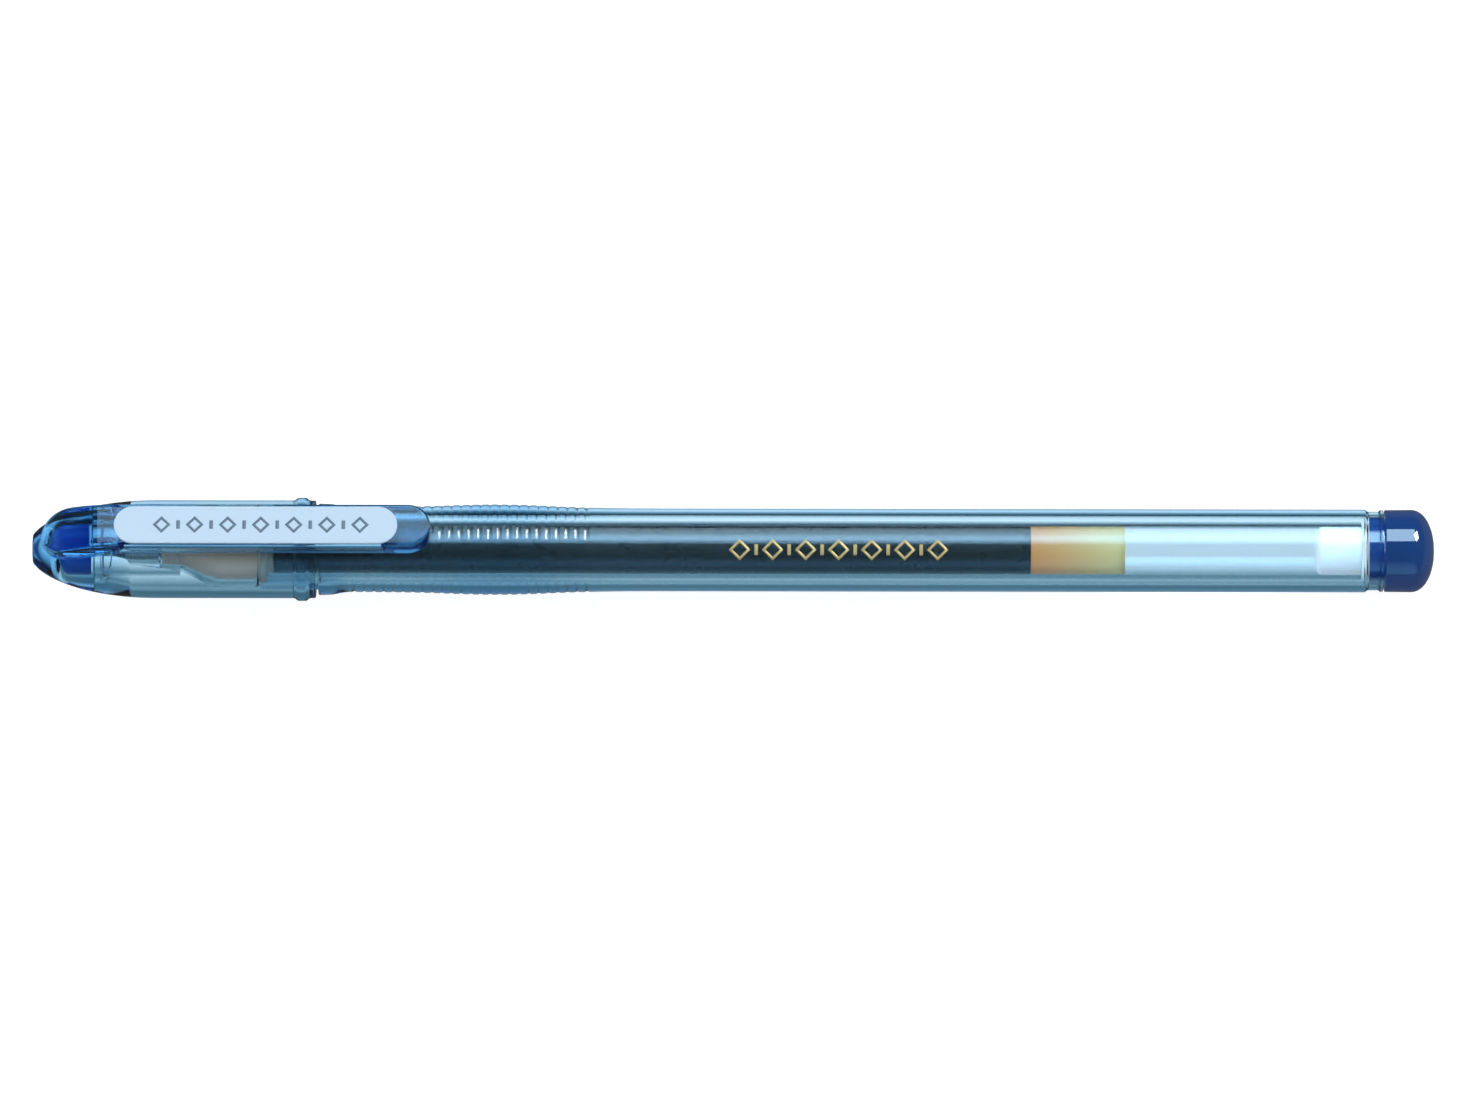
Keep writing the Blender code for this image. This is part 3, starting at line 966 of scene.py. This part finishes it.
class GELPEN_OT_end_plug(Operator):
    """Deep blue plug that closes the barrel"""

    bl_idname = "gelpen.end_plug"
    bl_label = "Build end plug"

    def execute(self, context):
        deep = deep_plastic("plug_plastic")
        plug = turned("rear_plug", end_plug_outline())
        finish_piece(plug, deep, "pen", "deep_blue_plastic", "end_plug")
        return {"FINISHED"}


class GELPEN_OT_nose(Operator):
    """Nose cone, tip holder, metal point and ball"""

    bl_idname = "gelpen.nose"
    bl_label = "Build nose"

    def execute(self, context):
        clear = clear_plastic("nose_plastic", (0.75, 0.88, 0.94), density=120)
        beige = solid_plastic(
            "holder_plastic", colours().holder, (0.3, 0.45), Transmission_Weight=0.35
        )
        steel = metal("point_steel", (0.66, 0.65, 0.62), (0.18, 0.34), 9000)
        ball = metal("ball_steel", (0.5, 0.5, 0.52), (0.08, 0.14), 3000)
        finish_piece(
            turned("nose", nose_cone_outline()), clear, "pen", "clear_plastic", "nose_cone"
        )
        finish_piece(
            turned("holder", tip_holder_outline()), beige, "pen", "holder_plastic", "tip_holder"
        )
        finish_piece(turned("point", point_outline(), 96), steel, "pen", "steel", "writing_point")
        finish_piece(turned("ball_steel", ball_outline(), 64), ball, "ball", "steel", "writing_ball")
        return {"FINISHED"}


class GELPEN_OT_refill(Operator):
    """Refill tube with its ink, follower grease and tail plug"""

    bl_idname = "gelpen.refill"
    bl_label = "Build refill"

    def execute(self, context):
        tube = clear_plastic("tube_plastic", (0.6, 0.7, 0.8), density=100, rough=(0.03, 0.07))
        finish_piece(turned("tube", tube_outline(), 128), tube, "pen", "tube_plastic", "ink_tube")
        front, rear, _ = span("ink_column")
        ink = turned("ink", filling_outline(front, rear, 0.0, 0.0), 128)
        finish_piece(ink, ink_look(), "pen", "ink", "ink_column")
        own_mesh(ink)
        front, rear, _ = span("ink_follower")
        grease = turned("follower", filling_outline(front, rear, 0.0, -0.6), 128)
        finish_piece(grease, follower_look(), "follower", "follower", "ink_follower")
        # The tail plug is milky, and its faint warm emission is a painted glow that keeps it bright
        # behind the blue walls.
        milky_glowing = solid_plastic(
            "tail_plastic",
            colours().tail,
            (0.3, 0.4),
            Subsurface_Weight=0.4,
            Subsurface_Scale=0.001,
            Emission_Color=(1.0, 0.84, 0.68, 1.0),
            Emission_Strength=0.3,
        )
        tail = turned("tail", tail_outline(), 128)
        finish_piece(tail, milky_glowing, "pen", "tail_plastic", "tail_plug")
        return {"FINISHED"}


class GELPEN_OT_stage(Operator):
    """Pale floor, soft light and camera"""

    bl_idname = "gelpen.stage"
    bl_label = "Build stage"

    def execute(self, context):
        make_floor()
        make_lights()
        make_world()
        make_camera()
        context.scene.view_settings.view_transform = "Standard"
        cycles = context.scene.cycles
        cycles.max_bounces = 28
        cycles.transmission_bounces = 28
        cycles.glossy_bounces = 8
        cycles.transparent_max_bounces = 32
        return {"FINISHED"}


# Stage

# (1 - cosine of the slant at which the floor is met, level). The slants are 0, 22, 32, 42, 52,
# 62 and 72 degrees. The levels are given.
FLOOR_FADE = (
    (0.000, 0.78),
    (0.073, 0.82),
    (0.150, 1.00),
    (0.257, 0.92),
    (0.384, 0.46),
    (0.530, 0.12),
    (0.690, 0.02),
)
# A contact shadow painted into the floor's glow by position:
# (share of the way from CONTACT_REACH in front of the pen's axis to right under it, level)
CONTACT_SHADE = ((0.0, 1.0), (0.30, 0.50), (0.52, 0.20), (0.76, 0.26), (0.92, 0.90), (1.0, 1.0))
CONTACT_REACH = 0.014  # metres
GLOW = 1.4  # of the floor, seen through clear plastic
PLAIN = 0.93  # of the floor, seen directly
MIRRORED = 0.10  # of the floor in reflections
SHADOW_SHARE = 0.3  # of the lamps' light that the floor takes up, for its faint shadow
FLOOR_HALF = 1.5  # metres
CAMERA_LIFT = 68.5  # degrees above the horizontal
CAMERA_ROLL = 0.09  # degrees
CAMERA_DISTANCE = 1.4  # metres
CAMERA_MARGIN = 1.0471  # width of the view, in lengths of the pen
SENSOR = 36.0


def floor_look():
    """Pale luminous table. The camera sees it plain and pale, with a faint shadow, and
    reflections see it dark. Seen through the pen's clear plastics it is brighter, with painted
    shade: it fades out towards grazing angles and in a contact shadow painted by position in
    front of the pen, which draw the dark lines of clear parts. This is a studio device, not
    how paper behaves."""
    look = Look("floor_paper")
    look.set(Base_Color=(0.93, 0.93, 0.93, 1), Roughness=0.9)
    look.shader.inputs["Specular IOR Level"].default_value = 0.0
    slant = look.node("ShaderNodeLayerWeight")
    slant.inputs["Blend"].default_value = 0.5
    fade = look.node("ShaderNodeValToRGB")
    fill_ramp(fade.color_ramp, FLOOR_FADE)
    look.link(slant.outputs["Facing"], fade.inputs["Fac"])
    place = look.node("ShaderNodeTexCoord")
    split = look.node("ShaderNodeSeparateXYZ")
    look.link(place.outputs["Object"], split.inputs["Vector"])
    ahead = look.node("ShaderNodeMapRange")
    ahead.inputs["From Min"].default_value = -CONTACT_REACH
    ahead.inputs["From Max"].default_value = 0.0
    look.link(split.outputs["Y"], ahead.inputs["Value"])
    shade = look.node("ShaderNodeValToRGB")
    fill_ramp(shade.color_ramp, CONTACT_SHADE)
    look.link(ahead.outputs["Result"], shade.inputs["Fac"])
    both = look.node("ShaderNodeMixRGB", blend_type="MULTIPLY")
    both.inputs["Fac"].default_value = 1.0
    look.link(fade.outputs["Color"], both.inputs["Color1"])
    look.link(shade.outputs["Color"], both.inputs["Color2"])
    glow = look.node("ShaderNodeEmission")
    glow.inputs["Strength"].default_value = GLOW
    look.link(both.outputs["Color"], glow.inputs["Color"])
    plain = look.node("ShaderNodeEmission")
    plain.inputs["Strength"].default_value = PLAIN
    nothing = look.node("ShaderNodeEmission")
    nothing.inputs["Strength"].default_value = 0.0
    soft = look.node("ShaderNodeMixShader")
    soft.inputs["Fac"].default_value = SHADOW_SHARE
    look.link(nothing.outputs["Emission"], soft.inputs[1])
    look.link(look.shader.outputs["BSDF"], soft.inputs[2])
    paper = look.node("ShaderNodeAddShader")
    look.link(plain.outputs["Emission"], paper.inputs[0])
    look.link(soft.outputs["Shader"], paper.inputs[1])
    path = look.node("ShaderNodeLightPath")
    mirrored = look.node("ShaderNodeEmission")
    mirrored.inputs["Strength"].default_value = MIRRORED
    outside = look.node("ShaderNodeMixShader")
    look.link(path.outputs["Is Glossy Ray"], outside.inputs["Fac"])
    look.link(paper.outputs["Shader"], outside.inputs[1])
    look.link(mirrored.outputs["Emission"], outside.inputs[2])
    mix = look.node("ShaderNodeMixShader")
    look.link(path.outputs["Is Transmission Ray"], mix.inputs["Fac"])
    look.link(outside.outputs["Shader"], mix.inputs[1])
    look.link(glow.outputs["Emission"], mix.inputs[2])
    look.link(mix.outputs["Shader"], look.output.inputs["Surface"])
    return look.material


def fill_ramp(ramp, stops):
    """Sets a colour ramp to stops of (position, level), the dim ones bluer."""
    while len(ramp.elements) < len(stops):
        ramp.elements.new(1.0)
    for element, (position, level) in zip(ramp.elements, stops):
        element.position = position
        element.color = (level**1.35, level, level**0.92, 1.0)


def make_floor():
    """A flat plane 3 m across under the pen."""
    side = np.array([-FLOOR_HALF, FLOOR_HALF])
    x, y = np.meshgrid(side, side)
    points = np.stack([x, y, np.zeros_like(x)], axis=-1).reshape(-1, 3)
    mesh = bpy.data.meshes.new("floor")
    mesh.from_pydata(points, [], [(0, 1, 3, 2)])
    floor = bpy.data.objects.new("floor", mesh)
    bpy.context.scene.collection.objects.link(floor)
    mesh.materials.append(floor_look())


def aimed(item, place, target):
    """Puts a lamp or camera at place, looking at target with its top upwards."""
    direction = np.array(target) - np.array(place)
    flat = math.hypot(direction[0], direction[1])
    item.location = place
    item.rotation_euler = (
        math.atan2(flat, -direction[2]),
        0.0,
        math.atan2(direction[1], direction[0]) - math.pi / 2,
    )


def make_lights():
    """A soft box over and behind the pen that draws its long highlight, one beyond each end
    that lights the matt parts and isn't mirrored, and a small one that is only mirrored, by
    the flanks of the grip's grooves."""
    for name, place, wide, tall, radiance in (
        ("key", (0.0, 0.47, 1.05), 0.9, 0.75, 3.7),
        ("left", (-0.95, 0.1, 0.75), 0.8, 0.8, 3.0),
        ("right", (0.95, 0.1, 0.75), 0.8, 0.8, 3.0),
        ("spark", (0.68, 0.47, 1.02), 0.5, 0.5, 18.0),
    ):
        data = bpy.data.lights.new(name, "AREA")
        data.shape = "RECTANGLE"
        data.size = wide
        data.size_y = tall
        data.energy = radiance * math.pi * wide * tall
        data.color = (0.56, 0.82, 1.0) if name == "key" else (1.0, 1.0, 0.98)
        lamp = bpy.data.objects.new(name, data)
        bpy.context.scene.collection.objects.link(lamp)
        aimed(lamp, place, (0.0, 0.0, AXIS_Z))
        lamp.visible_glossy = name in ("key", "spark")
        lamp.visible_diffuse = name != "spark"
        lamp.visible_transmission = name != "spark"


def make_world():
    """Dark surroundings, so that ink and deep colours stay deep, a little lighter low down
    in front of the pen and off its cap. The camera itself sees an even pale backdrop."""
    world = bpy.data.worlds.new("studio")
    bpy.context.scene.world = world
    world.use_nodes = True
    tree = world.node_tree
    back = tree.nodes["Background"]
    place = tree.nodes.new("ShaderNodeTexCoord")
    split = tree.nodes.new("ShaderNodeSeparateXYZ")
    tree.links.new(place.outputs["Generated"], split.inputs["Vector"])
    lighter = tree.nodes.new("ShaderNodeMath")
    lighter.operation = "MAXIMUM"
    for socket, axis in zip(lighter.inputs, ("X", "Y")):
        opposite = tree.nodes.new("ShaderNodeMath")
        opposite.operation = "MULTIPLY"
        opposite.inputs[1].default_value = -1.0
        tree.links.new(split.outputs[axis], opposite.inputs[0])
        tree.links.new(opposite.outputs["Value"], socket)
    share = tree.nodes.new("ShaderNodeMapRange")
    share.inputs["From Min"].default_value = 0.75
    share.inputs["From Max"].default_value = 0.95
    tree.links.new(lighter.outputs["Value"], share.inputs["Value"])
    dim = tree.nodes.new("ShaderNodeMixRGB")
    dim.inputs["Color1"].default_value = (0.045, 0.05, 0.05, 1)
    dim.inputs["Color2"].default_value = (0.18, 0.36, 0.52, 1)
    tree.links.new(share.outputs["Result"], dim.inputs["Fac"])
    path = tree.nodes.new("ShaderNodeLightPath")
    mix = tree.nodes.new("ShaderNodeMixRGB")
    mix.inputs["Color2"].default_value = (0.97, 0.97, 0.97, 1)
    tree.links.new(path.outputs["Is Camera Ray"], mix.inputs["Fac"])
    tree.links.new(dim.outputs["Color"], mix.inputs["Color1"])
    tree.links.new(mix.outputs["Color"], back.inputs["Color"])
    back.inputs["Strength"].default_value = 1.0


def make_camera():
    """A long lens 1.4 m away, 68.5 degrees up, that takes in the pen's whole length."""
    lift = math.radians(CAMERA_LIFT)
    data = bpy.data.cameras.new("camera")
    wide = (CAD_BOX[1][0] - CAD_BOX[0][0]) * CAMERA_MARGIN
    data.sensor_width = SENSOR
    data.lens = SENSOR * CAMERA_DISTANCE / wide
    data.clip_end = 20.0
    camera = bpy.data.objects.new("camera", data)
    bpy.context.scene.collection.objects.link(camera)
    back = CAMERA_DISTANCE * math.cos(lift)
    up = CAMERA_DISTANCE * math.sin(lift)
    aimed(camera, (0.0, -back, AXIS_Z + up), (0.0, 0.0, AXIS_Z))
    camera.rotation_euler.rotate_axis("Z", math.radians(CAMERA_ROLL))
    bpy.context.scene.camera = camera


class GELPEN_PT_panel(Panel):
    """Lists the pen's sizes, colours and build steps"""

    bl_idname = "GELPEN_PT_panel"
    bl_label = "Gel Pen"
    bl_space_type = "VIEW_3D"
    bl_region_type = "UI"
    bl_category = "Gel Pen"

    def draw(self, context):
        for group in (context.scene.gel_pen_sizes, context.scene.gel_pen_colours):
            box = self.layout.box()
            for name in group.__annotations__:
                box.prop(group, name)
        for step in STEPS:
            self.layout.operator(step.bl_idname)


STEPS = (
    GELPEN_OT_refill,
    GELPEN_OT_nose,
    GELPEN_OT_barrel,
    GELPEN_OT_end_plug,
    GELPEN_OT_cap,
    GELPEN_OT_clip,
    GELPEN_OT_stage,
)
CLASSES = (GelPenSizes, GelPenColours, *STEPS, GELPEN_PT_panel)


def register():
    for item in CLASSES:
        bpy.utils.register_class(item)
    bpy.types.Scene.gel_pen_sizes = PointerProperty(type=GelPenSizes)
    bpy.types.Scene.gel_pen_colours = PointerProperty(type=GelPenColours)


def unregister():
    del bpy.types.Scene.gel_pen_colours
    del bpy.types.Scene.gel_pen_sizes
    for item in reversed(CLASSES):
        bpy.utils.unregister_class(item)


def main():
    register()
    for step in STEPS:
        family, action = step.bl_idname.split(".")
        getattr(getattr(bpy.ops, family), action)()


if __name__ == "__main__":
    main()
